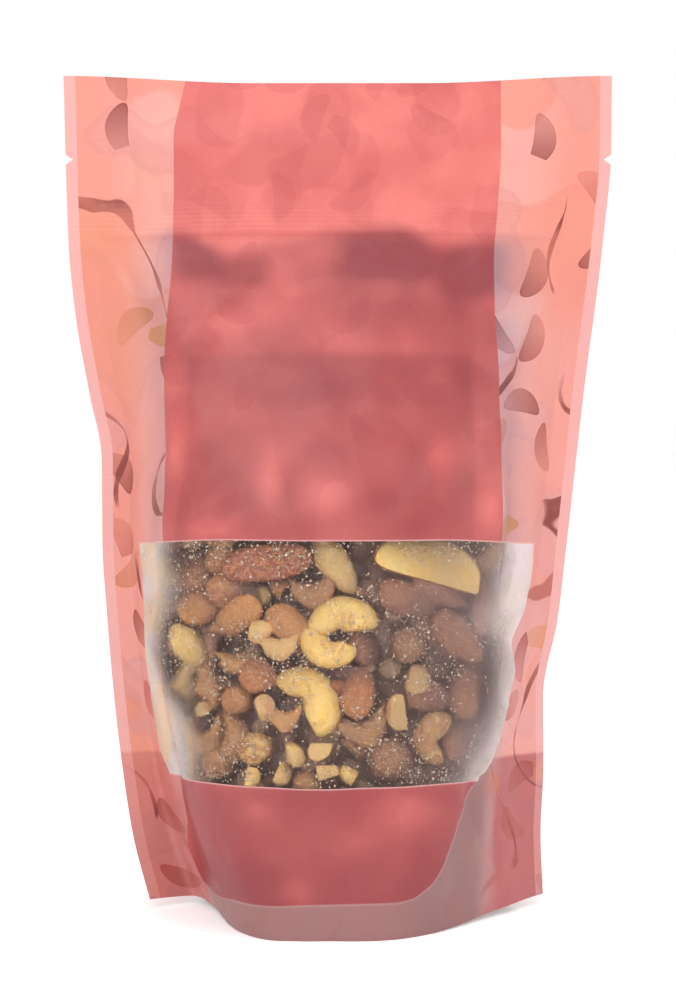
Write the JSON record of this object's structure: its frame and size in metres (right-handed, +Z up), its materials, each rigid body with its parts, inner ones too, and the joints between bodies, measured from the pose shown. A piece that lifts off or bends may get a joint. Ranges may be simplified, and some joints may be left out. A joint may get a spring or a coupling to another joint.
{
  "type": "stand-up pouch of mixed nuts",
  "caption": "Filled, shut stand-up pouch with a zip strip, tear notches, side seals, a bottom gusset and a clear window on mixed nuts.",
  "frame": {"origin": "on the ground under the middle of the bounding box", "axes": "+Z up, +X to the right seen from the front, the front panel with the window towards -Y"},
  "size_m": [0.1758, 0.0908, 0.2693],
  "materials": {
    "pouch_film": "satin printed film, slightly see-through",
    "window_film": "clear film, hazed by nut dust",
    "cashew": "roasted kernel, matt",
    "almond": "brown wrinkled skin",
    "hazelnut": "patchy brown skin",
    "large_kernel": "cream kernel with strips of dark skin",
    "pecan": "grooved brown half",
    "walnut": "lobed tan half",
    "nut_bits": "broken kernel, matt",
    "nut_heap": "shaded nuts behind the first layer"
  },
  "bodies": {
    "root": {"pouch": "pouch_film"}
  },
  "joints": []
}
